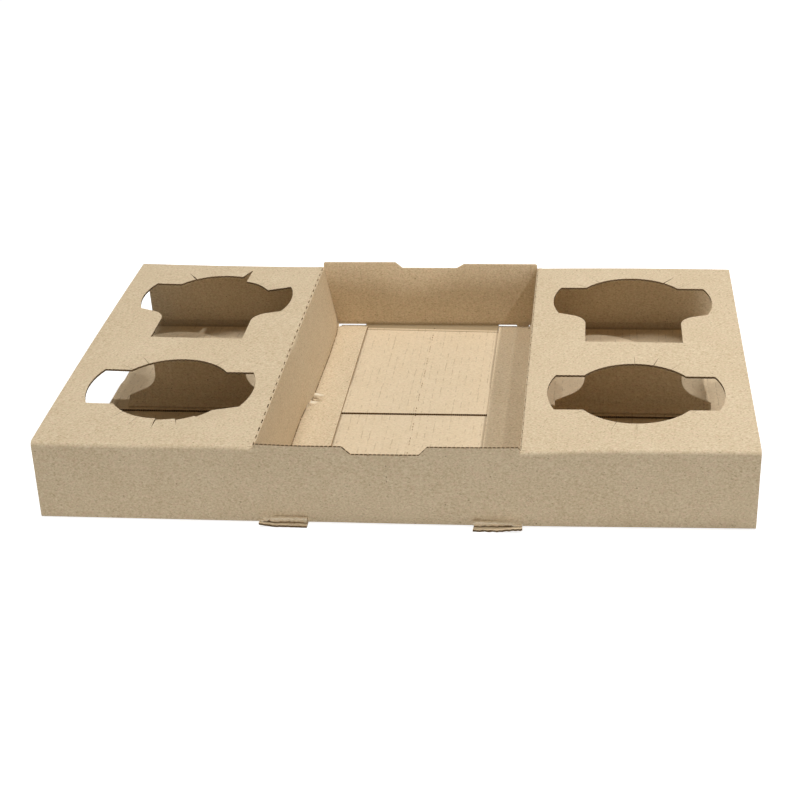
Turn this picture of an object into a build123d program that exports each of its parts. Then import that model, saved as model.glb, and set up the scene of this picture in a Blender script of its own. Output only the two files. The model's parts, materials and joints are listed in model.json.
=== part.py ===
from build123d import *
from math import cos, hypot, radians, sin, sqrt
import os

# A cup carrier folded from one die-cut sheet of corrugated kraft board.
# Two open-ended sleeves carry four cup holes, and a sunk tray lies between them.
# Millimetres, +X along the length, +Y towards the back wall, +Z up.
# The origin is the middle of the outline, on the surface that the carrier stands on.

# Driving dimensions
carrier_length = 460.0
wall_to_wall = 283.0
deck_height = 55.0
board = 1.5
top_fold_radius = 3.2
front_fold_radius = 1.9
back_fold_radius = 3.0
paper_gap = 0.15

# The tray between the sleeves, and the raised middles of its end walls
tray_width = 168.0
side_fold = 1.2
wall_rise = 2.0
wall_corner_radius = 1.5
notch_half_top = 27.0
notch_half_bottom = 21.5
notch_depth = 5.0

# Each side panel leans inwards by the lean at its lower crease, then runs on as a flange
flange_edge_left = 51.2
flange_edge_right = 54.0
lean_left_front = 5.0
lean_left_back = 9.8
lean_right = 5.0
kink_front = -2.0
kink_back = 22.0

# The floor is two flaps, with the back one lying over the front one
seam_from_middle = -3.5
overlap_width = 38.0
overlap_ramp = 9.0

# Cup holes and the ears beside them, measured from the middle of the walls
hole_x = 156.0
front_row_from_middle = -63.5
back_row_from_middle = 78.5
cup_radius = 41.0
ear_radius = 57.5
ear_half_width = 23.5
shoulder_drop = 21.5
shoulder_slope = 0.376
neck_half_width = 33.7
neck_radius = 14.0
hinge_from_hole = 68.0

# Knife slits that let the rim of a hole give way round a cup
slit_angles_high = (36, 54, 72, 90, 108, 126, 144)
slit_angles_low = (-36, -54, -72, -90, -108, -126, -144)
slit_inner = 40.0
slit_outer = 54.0
slit_width = 0.2

# The divider that folds down out of each back hole
divider_half_width = 54.5
divider_shoulder_height = 9.5
divider_knee_height = 15.0
divider_lean = 1.2
divider_toe_reach = 9.5

# Tabs at the ends of the tray flanges, and the slots that they enter
tab_inner = 54.0
tab_outer_front = 83.5
tab_outer_back = 77.0
front_tab_shift = 1.2
slot_play = 0.8
slot_floor_depth = 7.0
tab_reach = 6.5
ramp_length = 9.0
slot_height_front = 4.9
slot_height_back = 3.3
slot_flap_reach = 3.6
slot_flap_drop = 1.0

# Perforated folds beside the tray, and the tear line across it
dash_count = 28
dash_pitch = 10.0
dash_length = 4.6
dash_width = 0.9
tear_x_wall = 0.6
tear_x_floor = 2.2
tear_pitch = 4.0
tear_cut = 1.6
tear_width = 0.2

# Places worked out from the driving dimensions
middle_y = tab_reach / 2
front_y = middle_y - wall_to_wall / 2
back_y = middle_y + wall_to_wall / 2
seam_y = middle_y + seam_from_middle
overlap_end = seam_y + overlap_width
front_row_y = middle_y + front_row_from_middle
back_row_y = middle_y + back_row_from_middle
hinge_y = back_row_y - hinge_from_hole
half_length = carrier_length / 2
half_tray = tray_width / 2
floor_top = 2 * board
flange_top = floor_top + paper_gap + board
panel_front_y = front_y + board + 0.4
panel_back_y = back_y - board - 0.4
panel_overlap = 4.0
overshoot = 1.0
wall_cut = 6.0


def strip_points(path, thickness):
    """Closed outline of a bent strip of board that lies to the right of its path."""
    normals = []
    for (x0, y0), (x1, y1) in zip(path, path[1:]):
        length = hypot(x1 - x0, y1 - y0)
        normals.append(((y1 - y0) / length, -(x1 - x0) / length))
    far_side = []
    for index, (x, y) in enumerate(path):
        before = normals[max(index - 1, 0)]
        after = normals[min(index, len(normals) - 1)]
        spread = 1 + before[0] * after[0] + before[1] * after[1]
        step_x = thickness * (before[0] + after[0]) / spread
        step_y = thickness * (before[1] + after[1]) / spread
        far_side.append((x + step_x, y + step_y))
    return list(path) + far_side[::-1]


def nearest(vertices, point):
    """The corner that lies closest to a point."""
    return vertices.sort_by_distance(Vector(*point))[0]


def slit_places(x, y, angles):
    """Places of the knife slits round one hole."""
    middle = (slit_inner + slit_outer) / 2
    return [
        Location(
            (x + middle * cos(radians(angle)), y + middle * sin(radians(angle)), 0),
            (0, 0, angle),
        )
        for angle in angles
    ]


def wrap_section(inset):
    """Lengthwise section of the carrier with its rounded folds, taken in by the inset."""
    with BuildSketch(Plane.YZ) as section:
        with Locations((middle_y, deck_height / 2)):
            Rectangle(wall_to_wall - 2 * inset, deck_height - 2 * inset)
        fillet(section.vertices().group_by(Axis.Y)[-1], top_fold_radius - inset)
        front_corner = nearest(section.vertices(), (front_y + inset, inset, 0))
        fillet(front_corner, front_fold_radius - inset)
        back_corner = nearest(section.vertices(), (back_y - inset, inset, 0))
        fillet(back_corner, back_fold_radius - inset)
    return section.sketch


# Rim of a front hole: a circle with an ear on each side
with BuildSketch() as front_hole:
    Circle(ear_radius)
    Rectangle(3 * ear_radius, 2 * ear_half_width, mode=Mode.INTERSECT)
    Circle(cup_radius)

# Rim of a back hole: its front part narrows to the neck of the divider
shoulder_x = sqrt(ear_radius**2 - shoulder_drop**2)
neck_corner_y = -shoulder_drop - (shoulder_x - neck_half_width) * shoulder_slope
ear_x = ear_radius + overshoot
ear_y = -shoulder_drop + (ear_x - shoulder_x) * shoulder_slope

with BuildSketch() as ear_limit:
    Circle(ear_radius)
    with Locations((0, -hinge_from_hole / 2)):
        Rectangle(2 * neck_half_width, hinge_from_hole)

with BuildSketch() as back_hole:
    with BuildLine():
        Polyline(
            (-ear_x, ear_half_width),
            (ear_x, ear_half_width),
            (ear_x, ear_y),
            (neck_half_width, neck_corner_y),
            (neck_half_width, -hinge_from_hole),
            (-neck_half_width, -hinge_from_hole),
            (-neck_half_width, neck_corner_y),
            (-ear_x, ear_y),
            close=True,
        )
    make_face()
    corners = back_hole.vertices()
    neck_corners = [nearest(corners, (s * neck_half_width, neck_corner_y, 0)) for s in (-1, 1)]
    fillet(neck_corners, neck_radius)
    add(ear_limit.sketch, mode=Mode.INTERSECT)
    Circle(cup_radius)

# A divider hangs from its hinge, bends at the knee and ends on the floor seam
divider_path = [
    (hinge_y, deck_height - board),
    (hinge_y - divider_lean, divider_knee_height),
    (hinge_y - divider_lean - 0.35 * divider_toe_reach, divider_knee_height / 2),
    (hinge_y - divider_lean - divider_toe_reach, floor_top + paper_gap),
]
neck_corner_z = divider_shoulder_height + (divider_half_width - neck_half_width) * shoulder_slope

with BuildPart() as divider:
    with BuildSketch(Plane.YZ):
        with BuildLine():
            Polyline(*strip_points(divider_path, board), close=True)
        make_face()
    extrude(amount=ear_radius, both=True)
    with BuildSketch(Plane.XZ.offset(-hinge_y)) as divider_face:
        with BuildLine():
            Polyline(
                (-neck_half_width, deck_height),
                (neck_half_width, deck_height),
                (neck_half_width, neck_corner_z),
                (divider_half_width, divider_shoulder_height),
                (divider_half_width, 0),
                (-divider_half_width, 0),
                (-divider_half_width, divider_shoulder_height),
                (-neck_half_width, neck_corner_z),
                close=True,
            )
        make_face()
        corners = divider_face.vertices()
        neck_corners = [nearest(corners, (s * neck_half_width, neck_corner_z, 0)) for s in (-1, 1)]
        fillet(neck_corners, neck_radius)
    extrude(amount=2 * neck_radius, both=True, mode=Mode.INTERSECT)


def side_path(lean, flange_edge):
    """Right-hand side panel in section: flange, lower crease, wall, bent fold and deck."""
    fold_lean = lean * side_fold / (deck_height - flange_top)
    return [
        (flange_edge, flange_top),
        (half_tray - lean, flange_top),
        (half_tray - fold_lean, deck_height - side_fold),
        (half_tray + side_fold, deck_height),
        (half_tray + panel_overlap, deck_height),
    ]


def side_piece(first_path, first_y, last_path, last_y):
    """A length of side panel between two sections, closed with flat faces."""
    first = [Vector(x, first_y, z) for x, z in strip_points(first_path, board)]
    last = [Vector(x, last_y, z) for x, z in strip_points(last_path, board)]
    half = len(first_path)
    count = 2 * half
    faces = [Face(Wire.make_polygon(first)), Face(Wire.make_polygon(last))]
    for n in range(count):
        m = (n + 1) % count
        if m < half or m == 0:
            low, high = n, m
        else:
            low, high = m, n
        faces.append(Face(Wire.make_polygon([first[low], first[high], last[low]])))
        faces.append(Face(Wire.make_polygon([first[high], last[high], last[low]])))
    return Solid(Shell(faces))


def flange_end_cuts(lean, flange_edge):
    """Takes off both ends of a flange, where its tabs run down to the slots."""
    width = half_tray - lean - flange_edge
    middle_x = (half_tray - lean + flange_edge) / 2 - overshoot
    for y, side in ((panel_front_y, Align.MIN), (panel_back_y, Align.MAX)):
        with Locations((middle_x, y, 0)):
            Box(
                width,
                ramp_length,
                flange_top + overshoot,
                align=(Align.CENTER, side, Align.MIN),
                mode=Mode.SUBTRACT,
            )


# Left side panel, built on the right and mirrored: its lower crease is torn and steps
path_front = side_path(lean_left_front, flange_edge_left)
path_back = side_path(lean_left_back, flange_edge_left)
kink_start_y = middle_y + kink_front
kink_end_y = middle_y + kink_back
with BuildPart() as left_side:
    add(side_piece(path_front, panel_front_y, path_front, kink_start_y))
    add(side_piece(path_front, kink_start_y, path_back, kink_end_y))
    add(side_piece(path_back, kink_end_y, path_back, panel_back_y))
    flange_end_cuts(lean_left_back, flange_edge_left)

# Right side panel, with a straight crease
path_right = side_path(lean_right, flange_edge_right)
with BuildPart() as right_side:
    add(side_piece(path_right, panel_front_y, path_right, panel_back_y))
    flange_end_cuts(lean_right, flange_edge_right)


def cross_strip(path, inner, outer):
    """A bent strip of board between two distances from the middle of the tray."""
    with BuildPart() as strip:
        with BuildSketch(Plane.YZ.offset(inner)):
            with BuildLine():
                Polyline(*strip_points(path, board), close=True)
            make_face()
        extrude(amount=outer - inner)
    return strip.part


# The ends of a flange run down to floor level: out of the front slot, into the back one
ramp_outer = half_tray - lean_left_back - overshoot
front_ramp = cross_strip(
    [
        (front_y + board, board + paper_gap),
        (panel_front_y + ramp_length, flange_top),
        (panel_front_y + ramp_length + overshoot, flange_top),
    ],
    tab_inner,
    ramp_outer,
)
back_ramp_path = [
    (panel_back_y - ramp_length - overshoot, flange_top),
    (panel_back_y - ramp_length, flange_top),
    (back_y - board, board + paper_gap),
    (back_y - paper_gap, board),
]
back_ramp_left = cross_strip(back_ramp_path, flange_edge_left, ramp_outer)
back_ramp_right = cross_strip(back_ramp_path, tab_inner, tab_outer_back)
front_tongue = cross_strip(
    [
        (front_y - tab_reach, board),
        (front_y + board + overshoot, board + 2 * paper_gap),
    ],
    tab_inner,
    tab_outer_front,
)

# The piece of wall that a front tab pushes out of its slot
slot_flap = cross_strip(
    [
        (front_y - slot_flap_reach, slot_height_front - slot_flap_drop),
        (front_y, slot_height_front),
        (front_y + board, slot_height_front + board),
    ],
    tab_inner,
    tab_outer_front,
)

# Raised middle of an end wall, with its notch
with BuildPart() as raised_wall:
    with BuildSketch(Plane.XZ) as wall_middle:
        with BuildLine():
            Polyline(
                (-half_tray, deck_height - wall_cut),
                (-half_tray, deck_height + wall_rise),
                (-notch_half_top, deck_height + wall_rise),
                (-notch_half_bottom, deck_height + wall_rise - notch_depth),
                (notch_half_bottom, deck_height + wall_rise - notch_depth),
                (notch_half_top, deck_height + wall_rise),
                (half_tray, deck_height + wall_rise),
                (half_tray, deck_height - wall_cut),
                close=True,
            )
        make_face()
        corners = wall_middle.vertices()
        wall_top = deck_height + wall_rise
        top_corners = [nearest(corners, (s * half_tray, wall_top, 0)) for s in (-1, 1)]
        fillet(top_corners, wall_corner_radius)
    extrude(amount=-board)

# The carrier itself
with BuildPart() as carrier:
    # The sheet is wrapped round the deck, end walls and floor, open at both ends
    extrude(wrap_section(0), amount=half_length, both=True)
    extrude(wrap_section(board), amount=half_length + overshoot, both=True, mode=Mode.SUBTRACT)

    # The back floor flap climbs over the front one and ends at the seam
    with BuildSketch(Plane.YZ):
        with BuildLine():
            Polyline(
                (seam_y, board / 2),
                (seam_y, floor_top),
                (overlap_end, floor_top),
                (overlap_end + overlap_ramp, board),
                (overlap_end + overlap_ramp, board / 2),
                close=True,
            )
        make_face()
    extrude(amount=half_length, both=True)
    with BuildSketch(Plane.YZ):
        with BuildLine():
            Polyline(
                (overlap_end, -overshoot),
                (overlap_end, board),
                (overlap_end + overlap_ramp, 0),
                (overlap_end + overlap_ramp, -overshoot),
                close=True,
            )
        make_face()
    extrude(amount=half_length + overshoot, both=True, mode=Mode.SUBTRACT)

    # The middle of the deck is cut away between the end walls
    with Locations((0, middle_y, deck_height + wall_rise)):
        Box(
            tray_width,
            wall_to_wall + 2 * overshoot,
            2 * (wall_cut + wall_rise),
            mode=Mode.SUBTRACT,
        )
        Box(
            tray_width + panel_overlap,
            panel_back_y - panel_front_y,
            2 * (board + wall_rise + overshoot),
            mode=Mode.SUBTRACT,
        )
    with Locations((0, front_y, 0), (0, back_y - board, 0)):
        add(raised_wall.part)

    # Cup holes with their knife slits
    with BuildSketch(Plane.XY.offset(deck_height + overshoot)):
        with Locations((-hole_x, front_row_y), (hole_x, front_row_y)):
            add(front_hole.sketch)
        with Locations((-hole_x, back_row_y), (hole_x, back_row_y)):
            add(back_hole.sketch)
        for x in (-hole_x, hole_x):
            with Locations(*slit_places(x, front_row_y, slit_angles_high + slit_angles_low)):
                Rectangle(slit_outer - slit_inner, slit_width)
            with Locations(*slit_places(x, back_row_y, slit_angles_high)):
                Rectangle(slit_outer - slit_inner, slit_width)
    extrude(amount=-(board + 2 * overshoot), mode=Mode.SUBTRACT)

    # Slots for the tabs, through the folds between walls and floor
    for outer, shift, y, depth_side, height in (
        (tab_outer_front, front_tab_shift, front_y - overshoot, Align.MIN, slot_height_front),
        (tab_outer_back, 0, back_y + overshoot, Align.MAX, slot_height_back),
    ):
        slot_width = outer - tab_inner + 2 * slot_play
        slot_middle = (outer + tab_inner) / 2
        with Locations((shift - slot_middle, y, height), (shift + slot_middle, y, height)):
            Box(
                slot_width,
                slot_floor_depth + overshoot,
                2 * height,
                align=(Align.CENTER, depth_side, Align.MAX),
                mode=Mode.SUBTRACT,
            )

    # Side panels, dividers, tabs and the flaps pushed out of the front slots
    add(right_side.part)
    add(mirror(left_side.part, about=Plane.YZ, mode=Mode.PRIVATE))
    with Locations((-hole_x, 0, 0), (hole_x, 0, 0)):
        add(divider.part)
    add(back_ramp_right)
    add(mirror(back_ramp_left, about=Plane.YZ, mode=Mode.PRIVATE))
    with Locations((front_tab_shift, 0, 0)):
        for piece in (front_ramp, front_tongue, slot_flap):
            add(piece)
            add(mirror(piece, about=Plane.YZ, mode=Mode.PRIVATE))

    # Perforated folds between the decks and the side panels
    first_dash = middle_y - dash_pitch * (dash_count - 1) / 2
    dash_inset = board / 3
    dash_places = [
        Location(
            (s * (half_tray + dash_inset), first_dash + n * dash_pitch, deck_height - dash_inset),
            (0, -45 * s, 0),
        )
        for s in (-1, 1)
        for n in range(dash_count)
    ]
    with Locations(*dash_places):
        Box(dash_width, dash_length, 2.6 * board, mode=Mode.SUBTRACT)

    # Tear line down the walls and across the floor of the tray
    floor_cuts = int((wall_to_wall - 4 * board) / tear_pitch)
    wall_cuts = int((deck_height - notch_depth - 4 * board) / tear_pitch)
    first_cut = middle_y - tear_pitch * (floor_cuts - 1) / 2
    with Locations(
        *[(tear_x_floor, first_cut + n * tear_pitch, board) for n in range(floor_cuts)]
    ):
        Box(tear_width, tear_cut, 3 * floor_top, mode=Mode.SUBTRACT)
    wall_middles = (front_y + board / 2, back_y - board / 2)
    with Locations(
        *[
            (tear_x_wall, y, 3 * board + n * tear_pitch)
            for y in wall_middles
            for n in range(wall_cuts)
        ]
    ):
        Box(tear_width, 2 * board, tear_cut, mode=Mode.SUBTRACT)

carrier.part.label = "carrier"
os.makedirs("parts", exist_ok=True)
export_step(carrier.part, "parts/carrier.step")
print("solids", len(carrier.part.solids()), "box", carrier.part.bounding_box())
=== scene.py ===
# %% [markdown]
# A cup carrier of corrugated kraft board, dressed in Blender. The real object is one die-cut
# sheet, folded and tucked into itself. Its panels could be drawn again one by one, but the packed
# model already has every panel, hole and slit in its true place. So that model is loaded first and
# never moved, and the dressed sheet is made from a copy of it, in metres, in the same frame.

import bpy
import json
import math
from mathutils import Matrix, Vector, noise

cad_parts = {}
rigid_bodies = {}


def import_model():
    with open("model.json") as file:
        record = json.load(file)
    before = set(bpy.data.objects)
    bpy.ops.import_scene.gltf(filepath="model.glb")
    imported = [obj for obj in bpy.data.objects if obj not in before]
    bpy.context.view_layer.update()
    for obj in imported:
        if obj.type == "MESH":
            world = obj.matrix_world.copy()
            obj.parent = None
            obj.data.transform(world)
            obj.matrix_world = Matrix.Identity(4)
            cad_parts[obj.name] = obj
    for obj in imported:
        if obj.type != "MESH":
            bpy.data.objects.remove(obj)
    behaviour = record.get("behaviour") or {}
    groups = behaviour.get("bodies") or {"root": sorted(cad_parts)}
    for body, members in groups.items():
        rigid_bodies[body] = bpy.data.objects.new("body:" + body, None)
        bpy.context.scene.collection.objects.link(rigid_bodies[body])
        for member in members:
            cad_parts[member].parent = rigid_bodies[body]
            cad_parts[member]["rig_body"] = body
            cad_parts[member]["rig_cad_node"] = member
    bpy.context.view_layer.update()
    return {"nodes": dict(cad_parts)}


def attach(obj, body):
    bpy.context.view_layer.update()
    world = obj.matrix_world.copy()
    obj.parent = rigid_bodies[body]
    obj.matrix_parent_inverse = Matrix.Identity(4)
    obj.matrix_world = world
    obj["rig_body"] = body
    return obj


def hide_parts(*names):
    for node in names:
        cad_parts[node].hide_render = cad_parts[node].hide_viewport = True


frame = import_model()
MM = 0.001

# %% [markdown]
# These are the sizes that the sheet was folded to, in millimetres, as on a drawing of the blank.
# They could be measured back from the mesh, but a named size says what it is, and the same names
# serve the materials and the mesh. Lengths lie along x, depths along y and heights along z. The
# slack is how far a point may lie from its drawn place and still be taken for it.

# %% Sizes of the folded sheet
half_length = 230.0
wall_y = 141.5
middle_y = 3.25
front_y = middle_y - wall_y
back_y = middle_y + wall_y
deck_z = 55.0
board = 1.5
half_tray = 84.0
flange_z = 4.65
flute_pitch = 2.77
front_row_y = middle_y - 63.5
back_row_y = middle_y + 78.5
hole_x = 156.0
slit_inner = 41.0
slit_outer = 54.0
slack = 0.1
print("length, depth and deck height", 2 * half_length, 2 * wall_y, deck_z)

# %% [markdown]
# Every finish below is a tree of nodes. It could be wired by hand in the Shader Editor, but a few
# short helpers keep a long tree readable: one starts a material, one adds a node with its values,
# and one does a step of arithmetic on sockets or plain numbers.

# %% Helpers for node materials


def new_material(name):
    """An empty node material with its output node."""
    material = bpy.data.materials.new(name)
    material.use_nodes = True
    nodes = material.node_tree.nodes
    nodes.clear()
    output = nodes.new("ShaderNodeOutputMaterial")
    return material, nodes, material.node_tree.links, output


def add_node(nodes, kind, **values):
    """Adds a node and sets its properties and its unlinked inputs by name."""
    node = nodes.new(kind)
    for name, value in values.items():
        if hasattr(node, name):
            setattr(node, name, value)
        else:
            node.inputs[name.replace("_", " ")].default_value = value
    return node


def join(links, value, socket):
    """Links a socket to an input, or sets the input where the value is plain."""
    if isinstance(value, bpy.types.NodeSocket):
        links.new(value, socket)
    else:
        socket.default_value = value


def calculate(nodes, links, operation, first, second=0.0):
    """One step of arithmetic on sockets or numbers."""
    node = add_node(nodes, "ShaderNodeMath", operation=operation)
    join(links, first, node.inputs[0])
    join(links, second, node.inputs[1])
    return node.outputs[0]


print("node helpers ready")

# %% [markdown]
# The studio is a white sweep that the carrier stands on. A floor lit until it shows white would
# throw light up at the carrier and wash out its colours. So the floor is plain grey to the light,
# and a Light Path switch adds a glow only for the rays that look at it, by eye or in a
# reflection. The glow is added to the matt surface, so the floor still takes the shadow.

# %% Studio floor
floor_size = 12
floor_drop = 0.2
floor_grey = (0.6, 0.6, 0.6, 1)
plain_white = (1, 1, 1, 1)
floor_glow = 0.82


def white_switch(nodes, links):
    """1 for the rays that should see a white studio, and 0 for those that carry light."""
    rays = add_node(nodes, "ShaderNodeLightPath").outputs
    seen = calculate(nodes, links, "MAXIMUM", rays["Is Camera Ray"], rays["Is Glossy Ray"])
    return calculate(nodes, links, "MAXIMUM", seen, rays["Is Transmission Ray"])


def mix_shaders(nodes, links, factor, first, second):
    """One shader where the factor is 0, and another where it is 1."""
    mix = add_node(nodes, "ShaderNodeMixShader")
    links.new(factor, mix.inputs[0])
    links.new(first.outputs[0], mix.inputs[1])
    links.new(second.outputs[0], mix.inputs[2])
    return mix.outputs[0]


bpy.ops.object.select_all(action="DESELECT")
bpy.ops.mesh.primitive_plane_add(size=floor_size, location=(0, 0, -floor_drop * MM))
studio_floor = bpy.context.object
studio_floor.name = "studio_floor"

studio_white, nodes, links, output = new_material("studio_white")
surface = add_node(nodes, "ShaderNodeBsdfDiffuse", Color=floor_grey)
glow = add_node(nodes, "ShaderNodeEmission", Color=plain_white, Strength=floor_glow)
both = add_node(nodes, "ShaderNodeAddShader")
links.new(surface.outputs[0], both.inputs[0])
links.new(glow.outputs[0], both.inputs[1])
links.new(mix_shaders(nodes, links, white_switch(nodes, links), surface, both), output.inputs[0])
studio_floor.data.materials.append(studio_white)
print("studio floor", floor_size, "m across")

# %% [markdown]
# The world is the soft light that reaches every face, also inside the sleeves. A white world at
# full strength would flatten the shadows, so the same switch is used: white behind the carrier,
# and a weak warm light on it, like light that has come off pale walls.

# %% Studio world
world_tint = (1.0, 0.95, 0.82, 1)
world_strength = 0.1125
scene = bpy.context.scene
scene.view_settings.view_transform = "Standard"
world = bpy.data.worlds.new("studio_light")
world.use_nodes = True
scene.world = world
nodes, links = world.node_tree.nodes, world.node_tree.links
nodes.clear()
output = nodes.new("ShaderNodeOutputWorld")
soft_light = add_node(nodes, "ShaderNodeBackground", Color=world_tint, Strength=world_strength)
white = add_node(nodes, "ShaderNodeBackground", Color=plain_white, Strength=1.0)
links.new(mix_shaders(nodes, links, white_switch(nodes, links), soft_light, white), output.inputs[0])
print("world light strength", world_strength)

# %% [markdown]
# One large lamp could light the whole carrier, but the photograph has two shadow edges on the tray
# floor and a front wall that is lit from low down. So a soft lamp hangs above. A small one to the
# right makes the right deck the brightest and draws the shadow of the right side panel. A narrow
# sun draws a second shadow edge beside it, and a very low one lights the front wall but stays off
# the back one. Each was set against the brightness of the photographed faces.

# %% Lamps


def add_sun(name, energy, spread, direction):
    """A sun that shines from a direction, with its spread in degrees."""
    lamp = bpy.data.objects.new(name, bpy.data.lights.new(name, "SUN"))
    lamp.data.energy = energy
    lamp.data.angle = math.radians(spread)
    lamp.rotation_euler = Vector(direction).to_track_quat("Z", "Y").to_euler()
    scene.collection.objects.link(lamp)


def add_soft_box(name, energy, size, location):
    """A square lamp that hangs at a place and faces the carrier."""
    lamp = bpy.data.objects.new(name, bpy.data.lights.new(name, "AREA"))
    lamp.data.energy = energy
    lamp.data.size = size
    lamp.location = location
    lamp.rotation_euler = lamp.location.to_track_quat("Z", "Y").to_euler()
    scene.collection.objects.link(lamp)


add_soft_box("overhead", energy=8.8, size=0.4, location=(-0.25, 0.0, 1.4))
add_soft_box("right_lamp", energy=4.4, size=0.03, location=(0.59, 0.0, 0.9))
add_sun("right_sun", energy=0.3, spread=2, direction=(0.33, 0, 1))
add_sun("front_fill", energy=0.99, spread=6, direction=(0.05, -1, 0.045))

# %% [markdown]
# The camera stands at the photograph's viewpoint. It could be aimed with a tracking constraint,
# but that gives no roll, and the picture is turned by a few degrees. So its place and angles were
# fitted to the corners, folds and hole rims of the carrier, and its axes are built from them.

# %% Camera
pitch, yaw, roll = (math.radians(angle) for angle in (28.96, -8.38, 3.33))
camera_place = Vector((129.35, -934.68, 536.49))
forward = Vector(
    (math.sin(yaw) * math.cos(pitch), math.cos(yaw) * math.cos(pitch), -math.sin(pitch))
)
level_right = Vector((math.cos(yaw), -math.sin(yaw), 0))
level_down = forward.cross(level_right)
right = math.cos(roll) * level_right + math.sin(roll) * level_down
down = forward.cross(right)
camera = bpy.data.objects.new("camera", bpy.data.cameras.new("camera"))
camera.data.lens = 68.03
camera.data.sensor_width = 36
camera.data.clip_start = 0.05
turn = Matrix((right, -down, -forward)).transposed().to_4x4()
camera.matrix_world = Matrix.Translation(camera_place * MM) @ turn
scene.collection.objects.link(camera)
scene.camera = camera
print("camera looks along", [round(v, 3) for v in forward])

# %% [markdown]
# Paper patterns could come from a scanned image, but that shows where it repeats and needs a UV
# map. Here they are drawn by noise on Object coordinates, which stay fixed on the sheet. Each
# helper takes the size of its cells in millimetres, so a pattern is written at its real scale.

# %% Helpers for patterns


def blend_colour(nodes, links, factor, first, second):
    """Mixes two colours, each a socket or a plain colour."""
    node = add_node(nodes, "ShaderNodeMix", data_type="RGBA")
    join(links, factor, node.inputs[0])
    join(links, first, node.inputs[6])
    join(links, second, node.inputs[7])
    return node.outputs[2]


def product(nodes, links, first, second):
    """Two values multiplied."""
    return calculate(nodes, links, "MULTIPLY", first, second)


def tint(nodes, links, colour, mask, strength, towards):
    """Turns a colour towards another where a mask shows, by a strength."""
    return blend_colour(nodes, links, product(nodes, links, mask, strength), colour, towards)


def ramp(nodes, links, source, low, high):
    """Maps a value to 0 at low and 1 at high."""
    node = add_node(nodes, "ShaderNodeMapRange")
    node.inputs["From Min"].default_value = low
    node.inputs["From Max"].default_value = high
    links.new(source, node.inputs["Value"])
    return node.outputs[0]


def stretched_places(nodes, links, source, cell, turned=(0, 0, 0), moved=0.0):
    """Object coordinates turned, then counted in cells of a size in millimetres."""
    mapping = add_node(nodes, "ShaderNodeMapping", vector_type="TEXTURE")
    mapping.inputs["Location"].default_value = (moved, moved, moved)
    mapping.inputs["Rotation"].default_value = [math.radians(angle) for angle in turned]
    mapping.inputs["Scale"].default_value = [size * MM for size in cell]
    links.new(source, mapping.inputs["Vector"])
    return mapping.outputs[0]


def noise_field(nodes, links, source, cell, detail=2.0, roughness=0.5):
    """Smooth noise whose cells have a size in millimetres."""
    field = add_node(nodes, "ShaderNodeTexNoise", Scale=1.0, Detail=detail, Roughness=roughness)
    links.new(stretched_places(nodes, links, source, cell), field.inputs["Vector"])
    return field.outputs[0]


def scattered_marks(nodes, links, source, cell, turned, moved, radius, kept):
    """One mark in some of the cells: a dot, or a streak where the cells are long."""
    cells = add_node(nodes, "ShaderNodeTexVoronoi", Scale=1.0)
    places = stretched_places(nodes, links, source, cell, turned, moved)
    links.new(places, cells.inputs["Vector"])
    pick = add_node(nodes, "ShaderNodeSeparateColor")
    links.new(cells.outputs["Color"], pick.inputs[0])
    chosen = calculate(nodes, links, "LESS_THAN", pick.outputs[0], kept)
    mark = ramp(nodes, links, cells.outputs["Distance"], radius, 0.5 * radius)
    return product(nodes, links, mark, chosen)


print("pattern helpers ready")

# %% [markdown]
# Kraft liner is unbleached paper: warm tan and matt, cloudy over a few centimetres, with a fine
# grain and a faint blush. One flat colour would look like plastic. So the tone is built up in
# layers from the coarsest to the finest, and the grain is kept, because it also gives the height.

# %% Kraft liner: tone and grain
kraft_tan = (0.67, 0.538, 0.355, 1)
kraft_pale = (0.84, 0.72, 0.53, 1)
# The deep tone is the paper's own, and it is also used below for painted shade.
kraft_deep_and_shade = (0.5, 0.375, 0.22, 1)
kraft_pink = (0.74, 0.535, 0.39, 1)
evenness = 0.86


def paint_kraft(nodes, links, place):
    """Colour of bare kraft liner, and its grain."""
    cloud = noise_field(nodes, links, place, cell=(34, 34, 34), detail=3.0, roughness=0.55)
    tone = ramp(nodes, links, cloud, low=0.3, high=0.7)
    colour = blend_colour(nodes, links, tone, kraft_deep_and_shade, kraft_pale)
    colour = blend_colour(nodes, links, evenness, colour, kraft_tan)
    blush = noise_field(nodes, links, place, cell=(2.6, 2.1, 2.1))
    blush = ramp(nodes, links, blush, low=0.48, high=0.64)
    colour = tint(nodes, links, colour, blush, 0.4, kraft_pink)
    grain = noise_field(nodes, links, place, cell=(1.5, 1.1, 1.1), roughness=0.75)
    pale_grain = ramp(nodes, links, grain, low=0.5, high=0.72)
    dark_grain = ramp(nodes, links, grain, low=0.5, high=0.28)
    colour = tint(nodes, links, colour, pale_grain, 0.6, kraft_pale)
    return tint(nodes, links, colour, dark_grain, 0.75, kraft_deep_and_shade), grain


kraft, nodes, links, output = new_material("kraft_liner")
shader = add_node(nodes, "ShaderNodeBsdfPrincipled", Roughness=0.88)
shader.inputs["Specular IOR Level"].default_value = 0.2
links.new(shader.outputs[0], output.inputs[0])
place = add_node(nodes, "ShaderNodeTexCoord").outputs["Object"]
colour, grain = paint_kraft(nodes, links, place)
print("kraft liner nodes", len(nodes))

# %% [markdown]
# Short pale and dark fibres lie all ways in the paper, with a few dark specks of bark. Hairs could
# be scattered as geometry, but they have no thickness that shows. So each is a streak in a long
# cell of noise, and the cells are turned a different way for each layer, which hides their grid.

# %% Kraft liner: fibres and specks
# The dark fibre colour is also used below for painted shade in the groove, the fold and the torn
# crease.
fibre_and_shade_dark = (0.24, 0.155, 0.075, 1)
dark_layers = (((0, 25, 12), 0.34), ((20, 0, 68), 0.3), ((0, -30, -47), 0.34))
pale_layers = (((0, -20, -20), 0.5), ((25, 0, 40), 0.5))


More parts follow.
